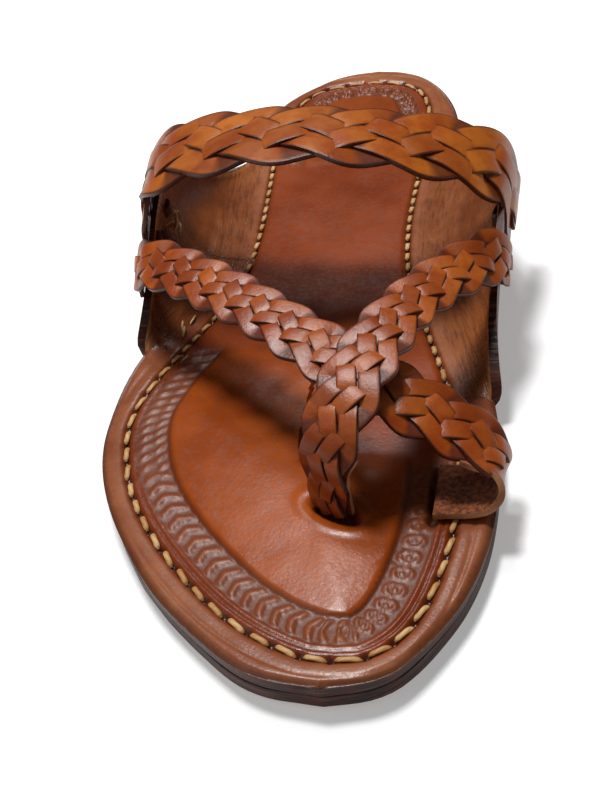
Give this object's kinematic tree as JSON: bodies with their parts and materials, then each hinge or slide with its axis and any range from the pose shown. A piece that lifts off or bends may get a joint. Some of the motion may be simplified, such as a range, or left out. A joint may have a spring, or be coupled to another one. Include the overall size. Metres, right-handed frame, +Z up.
{
  "type": "kolhapuri sandal",
  "caption": "Flat leather kolhapuri sandal, right foot: stitched layered sole, turned-up side wings, braided instep strap and crossed braided straps forming a big-toe loop.",
  "frame": {"origin": "centre of the bounding box's bottom face, on the floor", "axes": "-Y towards the toe, +Y towards the heel, +X towards the big-toe side, +Z up"},
  "size_m": [0.1062, 0.265, 0.0538],
  "materials": {
    "sole_leather": "dark burnished edge, satin",
    "footbed_leather": "oiled and tooled, satin",
    "wing_leather": "oiled and creased, satin",
    "strap_leather": "polished, braided"
  },
  "bodies": {
    "root": {"outsole": "sole_leather", "topsole": "footbed_leather", "heel_lift": "sole_leather", "heel_top_piece": "sole_leather", "medial_wing": "wing_leather", "lateral_wing": "wing_leather", "instep_strap": "strap_leather", "toe_straps": "strap_leather"}
  },
  "joints": []
}
